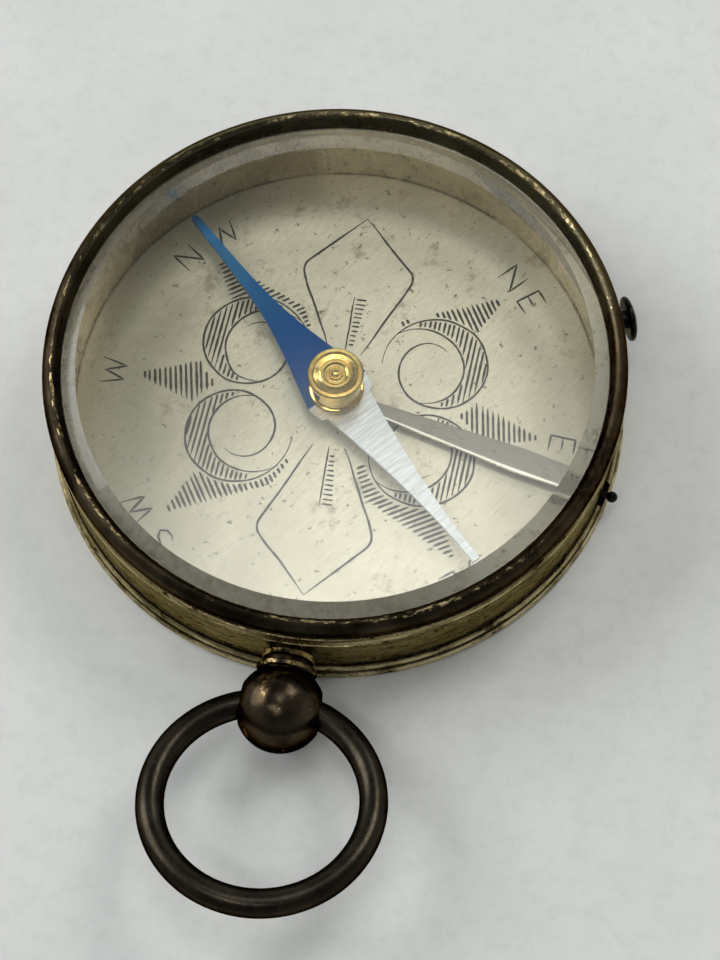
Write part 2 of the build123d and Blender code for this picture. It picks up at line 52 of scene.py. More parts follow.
class Graph:
    """Builds one material's nodes; sockets can be given wherever a number or colour can."""

    def __init__(self, name):
        self.material = bpy.data.materials.new(name)
        self.material.use_nodes = True
        self.tree = self.material.node_tree
        self.tree.nodes.clear()
        self.place = self.node("TexCoord").outputs["Object"]

    def node(self, kind, inputs=None, **settings):
        made = self.tree.nodes.new("ShaderNode" + kind)
        for key, value in settings.items():
            setattr(made, key, value)
        for key, value in (inputs or {}).items():
            if isinstance(value, bpy.types.NodeSocket):
                self.tree.links.new(value, made.inputs[key])
            else:
                made.inputs[key].default_value = value
        return made

    def math(self, operation, a, b=0.0, clamp=False):
        return self.node("Math", {0: a, 1: b}, operation=operation, use_clamp=clamp).outputs[0]

    def stretch(self, scale, turn):
        """Object coordinates turned about Z and then scaled differently along each axis."""
        turned = self.node("Mapping", {"Vector": self.place, "Rotation": (0, 0, turn)})
        return self.node("Mapping", {"Vector": turned.outputs[0], "Scale": scale}).outputs[0]

    def noise(self, scale, detail=3.0, rough=0.55, vector=None, warp=0.0):
        inputs = {"Vector": vector or self.place, "Scale": scale, "Detail": detail}
        inputs.update({"Roughness": rough, "Distortion": warp})
        return self.node("TexNoise", inputs).outputs["Fac"]

    def range(self, value, low, high, to_low=0.0, to_high=1.0):
        inputs = {"Value": value, "From Min": low, "From Max": high, "To Min": to_low, "To Max": to_high}
        return self.node("MapRange", inputs, interpolation_type="SMOOTHSTEP").outputs["Result"]

    def mix(self, factor, a, b):
        a = (*a, 1) if isinstance(a, tuple) else a
        b = (*b, 1) if isinstance(b, tuple) else b
        return self.node("Mix", {0: factor, 6: a, 7: b}, data_type="RGBA").outputs[2]

    def axes(self):
        split = self.node("SeparateXYZ", {0: self.place})
        return split.outputs[0], split.outputs[1], split.outputs[2]

    def gap(self, value, centre):
        """Distance of a value from a centre, whichever side it is on."""
        return self.math("ABSOLUTE", self.math("SUBTRACT", value, centre))

    def turned_place(self, angle):
        """Millimetres along and across a direction at an angle about the case axis."""
        split = self.node("SeparateXYZ", {0: self.stretch((1000, 1000, 1000), -angle)})
        return split.outputs[0], split.outputs[1]

    def radius(self):
        """Distance from the case axis, in millimetres."""
        x, y, _ = self.axes()
        square = self.math("ADD", self.math("MULTIPLY", x, x), self.math("MULTIPLY", y, y))
        return self.math("MULTIPLY", self.math("SQRT", square), 1000)

    def height(self):
        """Height above the back face, in millimetres."""
        return self.math("MULTIPLY", self.axes()[2], 1000)

    def towards(self, east, north):
        """How far a place lies towards one side of the case: near 1 on that side, near -1 opposite it."""
        x, y, _ = self.axes()
        east_part = self.math("MULTIPLY", x, 1000 * east)
        north_part = self.math("MULTIPLY", y, 1000 * north)
        return self.math("DIVIDE", self.math("ADD", east_part, north_part), self.radius())

    def rim_place(self, along, across):
        """Coordinates that follow the rim: arc length, radius and height in millimetres, each scaled."""
        x, y, z = self.axes()
        arc = self.math("MULTIPLY", self.math("ARCTAN2", y, x), WALL_RADIUS * along)
        out = self.math("MULTIPLY", self.radius(), across)
        up = self.math("MULTIPLY", z, 1000 * across)
        return self.node("CombineXYZ", {0: arc, 1: out, 2: up}).outputs[0]

    def bump(self, height, depth, previous=None):
        inputs = {"Height": height, "Distance": depth * MM, "Strength": 1.0}
        if previous:
            inputs["Normal"] = previous
        return self.node("Bump", inputs).outputs[0]

    def finish(self, colour, rough, normal=None, metallic=1.0, **constants):
        inputs = {"Base Color": colour, "Roughness": rough, "Metallic": metallic}
        if normal:
            inputs["Normal"] = normal
        inputs.update(constants)
        shader = self.node("BsdfPrincipled", inputs)
        self.node("OutputMaterial", {0: shader.outputs[0]})
        return self.material


def any_of(g, *values):
    """Largest of several masks."""
    result = values[0]
    for value in values[1:]:
        result = g.math("MAXIMUM", result, value)
    return result


# --- Materials ----------------------------------------------------------------------------------------

def aged_brass():
    g = Graph("aged_brass")
    r = g.radius()
    z = g.height()
    streaks = g.noise(1, 7, 0.72, g.rim_place(0.10, 4.6))
    scratches = g.noise(1, 5, 0.6, g.rim_place(0.30, 7.5))
    cloud = g.noise(1, 6, 0.66, g.rim_place(0.16, 0.75))
    stain = g.noise(1, 6, 0.75, g.rim_place(0.75, 1.5))
    fine = g.noise(1900, 3, 0.6)
    brass = g.mix(g.range(streaks, 0.40, 0.60), (0.215, 0.172, 0.085), (0.47, 0.385, 0.200))
    brown = g.math("MULTIPLY", g.range(cloud, 0.44, 0.60), 0.70)
    brass = g.mix(brown, brass, (0.115, 0.088, 0.044))
    brass = g.mix(g.range(scratches, 0.59, 0.64, 0.0, 0.9), brass, (0.016, 0.011, 0.005))
    brass = g.mix(g.range(stain, 0.55, 0.59), brass, (0.012, 0.008, 0.004))
    lower_ridge = g.range(r, 22.80, 22.98)
    upper_ridge = g.math("MULTIPLY", g.range(r, 22.63, 22.70), g.range(z, 6.2, 6.4))
    rubbed = g.range(g.noise(1, 5, 0.7, g.rim_place(0.35, 0.9)), 0.40, 0.56)
    ridge = g.math("MULTIPLY", any_of(g, lower_ridge, upper_ridge), rubbed)
    brass = g.mix(ridge, brass, (0.68, 0.575, 0.33))
    # Painted shade: near black under the bezel, where the band's neck is narrower than 22.45 mm. Also dark
    # lines along the seam and at the foot of the bead.
    seam = g.range(g.gap(z, 0.9), 0.12, 0.04)
    bead_foot = g.range(g.gap(z, 1.74), 0.10, 0.03)
    undercut_shade_and_seams = any_of(g, g.range(r, 22.52, 22.45), seam, bead_foot)
    brass = g.mix(g.math("MULTIPLY", undercut_shade_and_seams, 0.95), brass, (0.006, 0.004, 0.002))
    # Painted shadow: near black inside the slit where the lever's tail passes through the wall.
    along, across = g.turned_place(LEVER_ANGLE)
    slit_shadow = g.math("MULTIPLY", g.range(g.gap(across, 0.0), 1.14, 1.04), g.range(along, 20.0, 20.4))
    slit_shadow = g.math("MULTIPLY", slit_shadow, g.range(g.gap(z, 1.55), 0.40, 0.34))
    brass = g.mix(slit_shadow, brass, (0.002, 0.0015, 0.001))
    rough = g.range(fine, 0.3, 0.7, 0.16, 0.36)
    normal = g.bump(streaks, 0.022)
    normal = g.bump(scratches, 0.030, normal)
    normal = g.bump(stain, 0.030, normal)
    return g.finish(brass, rough, normal, **{"Specular Tint": (0.62, 0.55, 0.38, 1)})


def bezel_patina():
    g = Graph("bezel_patina")
    r = g.radius()
    x, y, _ = g.axes()
    z = g.height()
    cloud = g.noise(260, 5, 0.6)
    grit = g.noise(1500, 4, 0.7)
    base = g.mix(g.range(cloud, 0.35, 0.65), (0.018, 0.014, 0.009), (0.058, 0.046, 0.028))
    side = g.math("MULTIPLY", g.range(x, 0.010, 0.022), g.range(grit, 0.42, 0.62, 0.0, 0.5))
    base = g.mix(side, base, (0.070, 0.042, 0.022))
    inner_edge = g.math("MULTIPLY", g.range(r, 22.12, 22.02), g.range(r, 21.68, 21.78))
    inner_edge = g.math("MULTIPLY", inner_edge, g.range(z, 9.15, 9.30))
    worn_side = g.range(g.towards(0.56, -0.83), 0.86, 0.96, 0.15, 0.95)
    crest = g.math("MULTIPLY", g.range(z, 9.48, 9.58), worn_side)
    skirt = g.math("MULTIPLY", g.range(r, 22.66, 22.74), 0.35)
    olive = g.mix(cloud, (0.075, 0.066, 0.036), (0.130, 0.115, 0.064))
    base = g.mix(g.range(y, 0.0, 0.016, 0.0, 0.75), base, olive)
    far = g.range(y, 0.002, 0.015, 0.80, 1.04)
    clean = g.math("MULTIPLY", g.range(x, 0.010, 0.016, 0.0, 0.9), g.range(y, 0.010, 0.004))
    far = g.math("MULTIPLY", far, g.math("SUBTRACT", 1.0, clean))
    edges = any_of(g, g.math("MULTIPLY", inner_edge, far), crest, skirt)
    chips = g.noise(1, 6, 0.74, g.rim_place(1.20, 2.8))
    patches = g.noise(1, 3, 0.6, g.rim_place(0.16, 0.3))
    chips = g.math("ADD", g.math("MULTIPLY", chips, 0.72), g.math("MULTIPLY", patches, 0.28))
    limit = g.math("SUBTRACT", 0.67, g.math("MULTIPLY", edges, 0.142))
    worn = g.math("MULTIPLY", g.math("SUBTRACT", chips, limit), 34, True)
    bare = g.mix(g.range(grit, 0.3, 0.7), (0.33, 0.25, 0.11), (0.66, 0.54, 0.30))
    base = g.mix(worn, base, bare)
    rough = g.math("ADD", g.range(grit, 0.3, 0.7, 0.02, 0.14), g.range(patches, 0.40, 0.60, 0.14, 0.30))
    normal = g.bump(grit, 0.016)
    normal = g.bump(chips, 0.035, normal)
    return g.finish(base, rough, normal, **{"Specular Tint": (0.34, 0.28, 0.20, 1)})


def dark_bronze(name, gold, tone, rough, flecks=0.69, underside_shade=0.0, rim=0.20, flange=0.0, low=0.35):
    """Dark patina with gold wear; painted shade blackens the underside by the given amount, and flange is
    the radius of a rubbed rim.
    """
    g = Graph(name)
    cloud = g.noise(330, 5, 0.6)
    grit = g.noise(2600, 3, 0.6)
    base = g.mix(g.range(cloud, 0.38, 0.64), tuple(low * c for c in tone), tone)
    patches = g.noise(250, 6, 0.66, warp=0.8)
    brown = g.math("MULTIPLY", g.range(patches, gold - 0.08, gold + 0.04), 0.6)
    base = g.mix(brown, base, (0.078, 0.052, 0.030))
    base = g.mix(g.range(patches, gold + 0.03, gold + 0.09), base, (0.30, 0.205, 0.085))
    base = g.mix(g.range(g.noise(900, 5, 0.75), flecks, flecks + 0.03), base, (0.55, 0.44, 0.22))
    # Painted shade: the part below about 3 mm goes near black, fading out by 4.9 mm, standing in for the
    # dark underside.
    under = g.range(g.height(), 3.0, 4.9, 0.985, 0.0)
    base = g.mix(g.math("MULTIPLY", under, underside_shade), base, (0.004, 0.003, 0.002))
    if flange:
        x, y, z = g.axes()
        up = g.math("SUBTRACT", z, PENDANT_HEIGHT * MM)
        square = g.math("ADD", g.math("MULTIPLY", x, x), g.math("MULTIPLY", up, up))
        out = g.math("MULTIPLY", g.math("SQRT", square), 1000)
        worn = g.range(out, flange - 0.10, flange - 0.03)
        foot_end = -PENDANT_FOOT_END * MM
        worn = g.math("MULTIPLY", worn, g.range(y, foot_end - 0.05 * MM, foot_end + 0.05 * MM))
        worn = g.math("MULTIPLY", worn, g.range(g.noise(420, 5, 0.7), 0.42, 0.54))
        base = g.mix(worn, base, (0.50, 0.36, 0.15))
    level = g.range(grit, 0.3, 0.7, *rough)
    normal = g.bump(grit, 0.004, g.bump(cloud, 0.02))
    return g.finish(base, level, normal, **{"Specular Tint": (rim, 0.85 * rim, 0.65 * rim, 1)})


def silvered(name, tone, turn, rough_low, rough_high):
    g = Graph(name)
    brushing = g.noise(1, 5, 0.7, g.stretch((900, 5600, 900), turn))
    cloud = g.noise(95, 4, 0.55)
    tint = g.mix(g.range(cloud, 0.35, 0.65), tuple(0.86 * c for c in tone), tone)
    tint = g.mix(g.range(brushing, 0.35, 0.65, 0.0, 0.34), tint, tuple(0.62 * c for c in tone))
    stain = g.range(g.noise(360, 6, 0.7), 0.555, 0.70)
    tint = g.mix(g.math("MULTIPLY", stain, 0.55), tint, (0.19, 0.14, 0.07))
    small = g.range(g.noise(1250, 5, 0.72), 0.618, 0.655)
    tint = g.mix(g.math("MULTIPLY", small, 0.8), tint, (0.06, 0.045, 0.028))
    flecks = g.range(g.noise(1, 4, 0.75, g.stretch((1500, 3600, 1500), turn)), 0.632, 0.68)
    tint = g.mix(g.math("MULTIPLY", flecks, 0.75), tint, (0.10, 0.075, 0.045))
    rough = g.range(brushing, 0.3, 0.7, rough_low, rough_high)
    normal = g.bump(brushing, 0.003)
    normal = g.bump(g.noise(700, 4, 0.6), 0.006, normal)
    return g, tint, rough, normal


def dial_silver():
    g, tint, rough, normal = silvered("dial_silver", (0.65, 0.595, 0.455), radians(-52), 0.32, 0.46)
    x, y, _ = g.axes()
    # Darker towards the west, east and north edges of the dial, with ragged bounds: painted shade and
    # painted dark reflection.
    ragged = g.math("MULTIPLY", g.math("SUBTRACT", g.noise(85, 4, 0.6), 0.5), 0.016)
    west = g.range(g.math("ADD", x, ragged), -0.002, -0.019, 0.0, 0.66)
    east = g.range(g.math("ADD", x, ragged), 0.009, 0.020, 0.0, 0.50)
    east = g.math("MULTIPLY", east, g.range(y, 0.014, 0.004))
    north = g.range(g.math("ADD", y, ragged), 0.009, 0.020, 0.0, 0.34)
    tint = g.mix(any_of(g, west, east, north), tint, (0.20, 0.180, 0.125))
    # Painted shade: a darker ring where the dial meets the wall, broken up by noise.
    edge = g.range(g.radius(), 21.10, 21.26)
    edge = g.math("MULTIPLY", edge, g.range(g.noise(200, 4), 0.3, 0.55, 0.1, 0.8))
    tint = g.mix(edge, tint, (0.10, 0.075, 0.045))
    return g.finish(tint, rough, normal, metallic=0.74)


def wall_silver():
    g, tint, rough, normal = silvered("wall_silver", (0.66, 0.585, 0.43), 0.0, 0.16, 0.30)
    z = g.height()
    patches = g.math("MULTIPLY", g.range(g.noise(140, 5, 0.65), 0.48, 0.64), 0.60)
    tint = g.mix(patches, tint, (0.27, 0.20, 0.11))
    # Darker slate band along the top of the wall, just under the bezel.
    wavy = g.math("ADD", z, g.math("MULTIPLY", g.noise(260, 4), 1.6))
    top = g.math("MULTIPLY", g.range(wavy, 7.1, 8.0), 0.75)
    tint = g.mix(top, tint, (0.075, 0.080, 0.085))
    # Towards the north-east: a dark slate crescent down the wall as painted shade, and a near-white band
    # near its top as a painted highlight; the north-east side is also a darker brown.
    side = g.towards(0.79, 0.615)
    ragged = g.math("ADD", z, g.math("MULTIPLY", g.noise(300, 5), 0.8))
    shade = g.range(g.math("SUBTRACT", ragged, g.range(side, 0.82, 0.97, 7.2, 4.0)), 0.0, 0.3)
    tint = g.mix(g.math("MULTIPLY", shade, 0.86), tint, (0.060, 0.068, 0.066))
    tint = g.mix(g.range(side, 0.35, 0.75, 0.0, 0.45), tint, (0.20, 0.165, 0.10))
    glint = g.math("MULTIPLY", g.range(z, 6.75, 6.95), g.range(side, 0.55, 0.80))
    tint = g.mix(glint, tint, (0.92, 0.92, 0.86))
    # Painted shade: darker at the foot of the wall where it meets the dial, broken up by noise.
    foot_shade = g.math("ADD", z, g.math("MULTIPLY", g.noise(300, 4), 0.5))
    foot_shade = g.range(foot_shade, DIAL_TOP + 0.62, DIAL_TOP + 0.18)
    foot_shade = g.math("MULTIPLY", foot_shade, g.range(g.noise(230, 5, 0.7), 0.38, 0.60, 0.10, 0.85))
    tint = g.mix(foot_shade, tint, (0.10, 0.070, 0.040))
    return g.finish(tint, rough, normal)


def steel(name, tone, turn, stretch=(5200, 260, 260), rough=(0.24, 0.38), stain=0.35, dark=0.70, part=""):
    """Ground steel; part says what else it shows: the needle's blued half, or the lever's painted edge
    highlight and near-black tail.
    """
    g = Graph(name)
    grain = g.noise(1, 4, 0.6, g.stretch(stretch, turn))
    tint = g.mix(g.range(grain, 0.38, 0.62), tuple(dark * c for c in tone), tone)
    dirt = g.math("MULTIPLY", g.range(g.noise(380, 6, 0.7), 0.55, 0.72), stain)
    tint = g.mix(dirt, tint, (0.13, 0.10, 0.07))
    if part == "needle":
        along, _ = g.turned_place(NEEDLE_ANGLE)
        shade = g.mix(g.range(along, 4, 17), (0.006, 0.050, 0.165), (0.040, 0.150, 0.285))
        shade = g.mix(g.range(g.noise(300, 5, 0.6), 0.40, 0.70, 0.0, 0.5), shade, (0.008, 0.072, 0.235))
        tint = g.mix(g.range(along, -0.2, 0.0), tint, shade)
    level = g.range(grain, 0.3, 0.7, *rough)
    if part == "lever":
        along, across = g.turned_place(LEVER_ANGLE)
        tint = g.mix(g.range(g.noise(170, 5, 0.7), 0.46, 0.60, 0.0, 0.55), tint, (0.20, 0.175, 0.135))
        # A painted highlight along one edge of the lever's face, widening outwards with the lever.
        half_width = g.math("ADD", g.math("MULTIPLY", along, 0.040), 0.45)
        half_width = g.math("MINIMUM", half_width, 1.0)
        edge = g.range(g.math("ADD", across, half_width), 0.26, 0.08)
        tint = g.mix(edge, tint, (0.78, 0.75, 0.65))
        tint = g.mix(g.range(g.radius(), 21.2, 21.7), tint, (0.006, 0.005, 0.004))
    return g.finish(tint, level, g.bump(grain, 0.008))


def gilt():
    g = Graph("gilt_brass")
    r = g.radius()
    turning = g.noise(1, 3, 0.6, g.node("CombineXYZ", {0: g.math("MULTIPLY", r, 14)}).outputs[0])
    cloud = g.noise(800, 4, 0.6)
    tint = g.mix(g.range(cloud, 0.3, 0.7), (0.60, 0.40, 0.10), (0.88, 0.66, 0.24))
    pits = g.range(g.noise(1700, 3, 0.7), 0.66, 0.72)
    tint = g.mix(g.math("MULTIPLY", pits, 0.7), tint, (0.20, 0.11, 0.03))
    return g.finish(tint, g.range(turning, 0.3, 0.7, 0.08, 0.18), g.bump(turning, 0.008))


def plain_brass(name, tone):
    g = Graph(name)
    cloud = g.noise(500, 5, 0.6)
    tint = g.mix(g.range(cloud, 0.3, 0.7), tuple(0.45 * c for c in tone), tone)
    return g.finish(tint, g.range(g.noise(1800, 3), 0.3, 0.7, 0.22, 0.40), g.bump(cloud, 0.01))


def blackened():
    g = Graph("blackened")
    grit = g.noise(1600, 5, 0.65)
    tint = g.mix(g.range(grit, 0.35, 0.7), (0.008, 0.008, 0.009), (0.040, 0.036, 0.032))
    tint = g.mix(g.range(g.noise(900, 5, 0.7), 0.64, 0.72), tint, (0.24, 0.17, 0.09))
    return g.finish(tint, g.range(grit, 0.3, 0.7, 0.22, 0.42), g.bump(grit, 0.012))


def agate():
    g = Graph("agate")
    bands = g.noise(1400, 4, 0.6, warp=1.2)
    tint = g.mix(g.range(bands, 0.35, 0.65), (0.34, 0.10, 0.06), (0.62, 0.34, 0.24))
    return g.finish(tint, g.range(bands, 0.3, 0.7, 0.10, 0.22), metallic=0.0)


def wax():
    g = Graph("engraving_wax")
    grain = g.noise(2400, 4, 0.6)
    tint = g.mix(g.range(grain, 0.35, 0.7), (0.010, 0.008, 0.005), (0.055, 0.042, 0.026))
    return g.finish(tint, g.range(grain, 0.3, 0.7, 0.45, 0.7), metallic=0.0)


def glass():
    g = Graph("crystal_glass")
    wear = g.noise(1, 4, 0.7, g.stretch((120, 2600, 120), radians(35)))
    rough = g.range(wear, 0.66, 0.78, 0.0, 0.07)
    clear = g.node("BsdfPrincipled", {"Base Color": (0.97, 0.985, 0.975, 1), "Roughness": rough,
                                     "IOR": 1.5, "Transmission Weight": 1.0})
    # The bevel carries a frosted grey veil. Its roughness is a ground finish, but its grey tone, lighter
    # towards the east, and its strength, greatest on the near side and least on the far side, are painted
    # shade standing in for the shaded wall seen through the bevel.
    bevel = g.math("MULTIPLY", g.range(g.radius(), 20.14, 20.20), g.range(g.height(), 8.46, 8.50))
    ground = g.noise(1500, 4, 0.6)
    x = g.axes()[0]
    painted_veil_tone = g.mix(g.range(ground, 0.3, 0.7), (0.135, 0.124, 0.092), (0.185, 0.172, 0.132))
    painted_veil_tone = g.mix(g.range(x, 0.006, 0.019, 0.0, 0.90), painted_veil_tone, (0.42, 0.405, 0.34))
    painted_veil_tone = g.mix(g.range(g.noise(700, 5, 0.75), 0.52, 0.66, 0.0, 0.7), painted_veil_tone, (0.11, 0.095, 0.06))
    frost = g.range(ground, 0.3, 0.7, 0.30, 0.45)
    satin = g.node("BsdfPrincipled", {"Base Color": painted_veil_tone, "Roughness": frost})
    painted_veil_strength = g.range(g.towards(0.45, -0.89), -0.20, 0.50, 0.14, 0.90)
    painted_veil_strength = g.math("MULTIPLY", painted_veil_strength, g.range(x, 0.010, 0.018, 1.0, 0.60))
    painted_veil_strength = any_of(g, painted_veil_strength, g.range(x, -0.011, -0.018, 0.0, 0.66))
    cover = g.math("MULTIPLY", bevel, painted_veil_strength)
    veil = g.node("MixShader", {0: cover, 1: clear.outputs[0], 2: satin.outputs[0]})
    through = g.node("BsdfTransparent", {0: (0.93, 0.945, 0.935, 1)})
    path = g.node("LightPath")
    shadow = path.outputs["Is Shadow Ray"]
    blend = g.node("MixShader", {0: shadow, 1: veil.outputs[0], 2: through.outputs[0]})
    g.node("OutputMaterial", {0: blend.outputs[0]})
    return g.material


def floor_material():
    g = Graph("floor_pale")
    cloud = g.noise(60, 5, 0.6)
    grain = g.noise(620, 5, 0.72)
    tint = g.mix(g.range(cloud, 0.3, 0.7), (0.690, 0.705, 0.685), (0.745, 0.760, 0.740))
    tint = g.mix(g.range(grain, 0.46, 0.66, 0.0, 0.26), tint, (0.57, 0.585, 0.57))
    return g.finish(tint, g.range(grain, 0.3, 0.7, 0.42, 0.55), g.bump(grain, 0.02), metallic=0.0)


brass_wall = aged_brass()
turned_brass = plain_brass("turned_brass", (0.60, 0.45, 0.20))
black = blackened()
lever_steel = steel(
    "lever_steel", (0.215, 0.200, 0.165), -LEVER_ANGLE, (700, 2400, 700), (0.26, 0.40), 0.75, 0.88,
    part="lever",
)
needle_steel = steel(
    "needle_steel", (0.66, 0.675, 0.665), -NEEDLE_ANGLE, (13000, 500, 500), (0.32, 0.46), 0.15,
    part="needle",
)
collar_bronze = dark_bronze("collar_patina", 0.53, (0.038, 0.026, 0.014), (0.22, 0.36), flange=2.0)
ball_bronze = dark_bronze(
    "ball_patina", 0.54, (0.062, 0.047, 0.030), (0.20, 0.30), 0.66, underside_shade=1.0, rim=0.05, flange=2.3,
)
ring_bronze = dark_bronze("ring_patina", 0.72, (0.044, 0.037, 0.027), (0.26, 0.36), 0.76, low=0.62)
finishes = {
    "case_band": brass_wall,
    "case_back": brass_wall,
    "bezel": bezel_patina(),
    "crystal": glass(),
    "reflector_ring": wall_silver(),
    "dial_plate": dial_silver(),
    "pivot_post": turned_brass,
    "pivot_point": steel("hard_steel", (0.55, 0.54, 0.52), 0.0),
    "needle_cap": gilt(),
    "cap_jewel": agate(),
    "needle_blade": needle_steel,
    "cap_collar": turned_brass,
    "lift_collar": turned_brass,
    "lifter_lever": lever_steel,
    "lever_retainer": black,
    "button_head": black,
    "button_stem": black,
    "button_bush": black,
    "pendant_collar": collar_bronze,
    "pendant_ball": ball_bronze,
    "pendant_nut": turned_brass,
    "bow_ring": ring_bronze,
}
for name, node in nodes.items():
    node.data.materials.clear()
    node.data.materials.append(finishes[name])


# --- Engraved dial ------------------------------------------------------------------------------------

def polar(bearing, r):
    """Point at a compass bearing in degrees, clockwise from north, at a radius in millimetres."""
    return (r * sin(radians(bearing)), r * cos(radians(bearing)))


class Engraving:
    """Flush wax-filled cuts, as flat ribbons a hair above the dial."""

    def __init__(self, height):
        self.mesh = bmesh.new()
        self.z = height * MM

    def cut(self, points, width, taper=0.35):
        """One cut through the points, widest in its middle."""
        left, right = [], []
        count = len(points)
        for i, (x, y) in enumerate(points):
            ax, ay = points[max(i - 1, 0)]
            bx, by = points[min(i + 1, count - 1)]
            length = hypot(bx - ax, by - ay) or 1.0
            nx, ny = -(by - ay) / length, (bx - ax) / length
            share = i / (count - 1)
            swell = taper + (1 - taper) * min(1.0, 5 * share, 5 * (1 - share))
            wobble = 1 + 0.35 * pattern.noise(Vector((x * 2.1, y * 2.1, 3.7)))
            half = 0.5 * width * swell * wobble
            left.append(self.mesh.verts.new(((x + nx * half) * MM, (y + ny * half) * MM, self.z)))
            right.append(self.mesh.verts.new(((x - nx * half) * MM, (y - ny * half) * MM, self.z)))
        for i in range(count - 1):
            self.mesh.faces.new((right[i], right[i + 1], left[i + 1], left[i]))

    def path(self, points, width, step=0.25):
        """A drawn line: the straight runs between the points are divided, and sway a little as by hand."""
        dense = []
        for (ax, ay), (bx, by) in zip(points, points[1:]):
            parts = max(2, int(hypot(bx - ax, by - ay) / step))
            for k in range(parts):
                dense.append((ax + (bx - ax) * k / parts, ay + (by - ay) * k / parts))
        dense.append(points[-1])
        sway = [pattern.noise(Vector((x * 0.45, y * 0.45, 9.1))) * 0.10 for x, y in dense]
        self.cut([(x + s, y + s) for (x, y), s in zip(dense, sway)], width)

    def hatch(self, inside, bearing, spacing=0.42, width=0.21, reach=19.0, step=0.08):
        """Parallel cuts along a bearing, wherever inside(x, y) holds."""
        ux, uy = polar(bearing, 1.0)
        rows = int(reach / spacing)
        steps = int(reach / step)
        for row in range(-rows, rows + 1):
            offset = row * spacing + 0.06 * pattern.noise(Vector((row * 1.7, bearing * 0.13, 0.5)))
            run = []
            for k in range(-steps, steps + 2):
                x = ux * k * step - uy * offset
                y = uy * k * step + ux * offset
                if k <= steps and inside(x, y):
                    run.append((x, y))
                elif run:
                    if len(run) > 5:
                        self.cut(run[:: max(1, len(run) // 8)] + [run[-1]], width)
                    run = []

    def build(self, name, material, body):
        data = bpy.data.meshes.new(name)
        self.mesh.to_mesh(data)
        self.mesh.free()
        data.materials.append(material)
        piece = bpy.data.objects.new(name, data)
        bpy.context.scene.collection.objects.link(piece)
        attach(piece, body)
        return piece


RAY_TIPS = (
    (1, 16.6), (48, 16.9), (94, 17.1), (138, 17.0),
    (182, 16.8), (226, 17.2), (270, 16.9), (314, 16.8),
)
LOBES = ((62, 8.5, 4.35), (118, 8.5, 4.35), (242, 8.5, 4.35), (298, 8.5, 4.35))
KITES = (0, 180)
KITE_ROOT = 4.0
KITE_SHOULDER = 11.9
KITE_TIP = 17.0
KITE_ROOT_HALF = 1.3
KITE_HALF = 4.8


def in_ray(x, y, bearing, tip):
    """Inside the long triangle that points outwards at a bearing."""
    ux, uy = polar(bearing, 1.0)
    along = x * ux + y * uy
    across = abs(x * uy - y * ux)
    return 6.0 < along < tip and across < 0.36 * (tip - along) and across < 0.36 * along


def in_lobe(x, y, margin=0.0):
    return any(hypot(x - polar(b, r)[0], y - polar(b, r)[1]) < size + margin for b, r, size in LOBES)


def in_kite(x, y, margin=0.0):
    """Inside the spearhead that points to north or to south."""
    along, across = abs(y), abs(x)
    if along < KITE_ROOT or along > KITE_TIP + margin:
        return False
    if along > KITE_SHOULDER:
        half = KITE_HALF * (KITE_TIP - along) / (KITE_TIP - KITE_SHOULDER)
    else:
        share = (along - KITE_ROOT) / (KITE_SHOULDER - KITE_ROOT)
        half = KITE_ROOT_HALF + (KITE_HALF - KITE_ROOT_HALF) * share
    return across < half + margin


def rounded(points, radius=0.9, parts=7):
    """Corners of an open path turned into short curves, except at its ends."""
    result = [points[0]]
    for before, corner, after in zip(points, points[1:], points[2:]):
        c = Vector(corner)
        a = c + (Vector(before) - c).normalized() * radius
        b = c + (Vector(after) - c).normalized() * radius
        for k in range(parts + 1):
            t = k / parts
            result.append(tuple(a * (1 - t) ** 2 + c * 2 * t * (1 - t) + b * t * t))
    return result + [points[-1]]


rose = Engraving(DIAL_TOP + 0.015)
for bearing, tip in RAY_TIPS:

    def in_clear_ray(x, y):
        return in_ray(x, y, bearing, tip) and not in_lobe(x, y, 0.2) and not in_kite(x, y, 0.2)

    turn = bearing + (78 if bearing % 90 < 30 else 102)
    rose.hatch(in_clear_ray, turn)

for bearing, distance, size in LOBES:
    cx, cy = polar(bearing, distance)
    hand = 1 if bearing in (62, 242) else -1

    def scroll(a):
        """Point on the curl after a degrees: it starts at the hub and winds into the lobe."""
        r = size * (1 - 0.60 * max(0.0, (a - 150) / 330) ** 1.3)
        turned = radians(bearing + 180 + hand * (a + 25))
        return (cx + r * sin(turned), cy + r * cos(turned))

    def crescent(a):
        """Inner edge of the shaded band that follows the curl."""
        x, y = scroll(a)
        share = (0.46 * sin(radians((a - 40) / 250 * 180))) if 40 < a < 290 else 0.0
        return (x + (cx - x) * share, y + (cy - y) * share)

    def in_crescent(x, y):
        turned = (hand * (atan2(x - cx, y - cy) * 180 / pi - bearing - 180) - 25) % 360
        if not 45 < turned < 285:
            return False
        ox, oy = scroll(turned)
        ix, iy = crescent(turned)
        inner = hypot(ix - cx, iy - cy) + 0.12
        outer = hypot(ox - cx, oy - cy) - 0.12
        return inner < hypot(x - cx, y - cy) < outer

    def in_clear_crescent(x, y):
        return in_crescent(x, y) and hypot(x, y) > 4.6 and not in_kite(x, y, 0.15)

    for curve in (scroll, crescent):
        stop = 480 if curve is scroll else 290
        run = []
        for a in range(0 if curve is scroll else 40, stop + 1, 3):
            point = curve(a)
            if hypot(*point) > 4.4 and not in_kite(*point, 0.1):
                run.append(point)
            else:
                if len(run) > 3:
                    rose.path(run, 0.175)
                run = []
        if len(run) > 3:
            rose.path(run, 0.175)
    rose.hatch(in_clear_crescent, 4, 0.40, 0.19)

